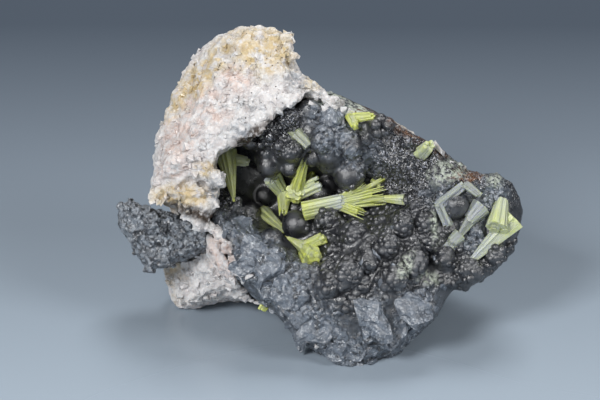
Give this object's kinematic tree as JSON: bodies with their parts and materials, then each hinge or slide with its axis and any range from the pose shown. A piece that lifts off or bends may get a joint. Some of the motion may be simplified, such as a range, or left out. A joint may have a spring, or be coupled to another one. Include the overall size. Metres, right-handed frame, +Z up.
{
  "type": "mineral specimen",
  "caption": "Pyromorphite specimen: yellow-green hexagonal crystals in a hollow of black botryoidal goethite on a block of white vein quartz, standing on a flat base.",
  "frame": {"origin": "on the resting surface, under the middle of the bounding box", "axes": "+Z up, +X to the right along the display face, -Y towards the viewer of the display face"},
  "size_m": [0.071, 0.046, 0.0495],
  "materials": {
    "quartz": "sugary broken quartz, white with pink and ochre stains",
    "goethite": "black grape-like goethite with a glossy skin and blue-grey fresh breaks",
    "pyromorphite": "greasy, slightly see-through yellow-green crystal"
  },
  "bodies": {
    "root": {"quartz_matrix": "quartz", "goethite_crust": "goethite", "goethite_vein": "goethite", "crystal_sheaf": "pyromorphite", "crystal_centre": "pyromorphite", "crystal_cave_wall": "pyromorphite", "crystal_cave_floor": "pyromorphite", "crystal_fan": "pyromorphite", "crystal_tab": "pyromorphite", "crystal_club": "pyromorphite", "crystal_pair": "pyromorphite", "crystal_elbow": "pyromorphite", "crystal_ridge": "pyromorphite", "crystal_upper": "pyromorphite", "crystal_foot": "pyromorphite"}
  },
  "joints": []
}
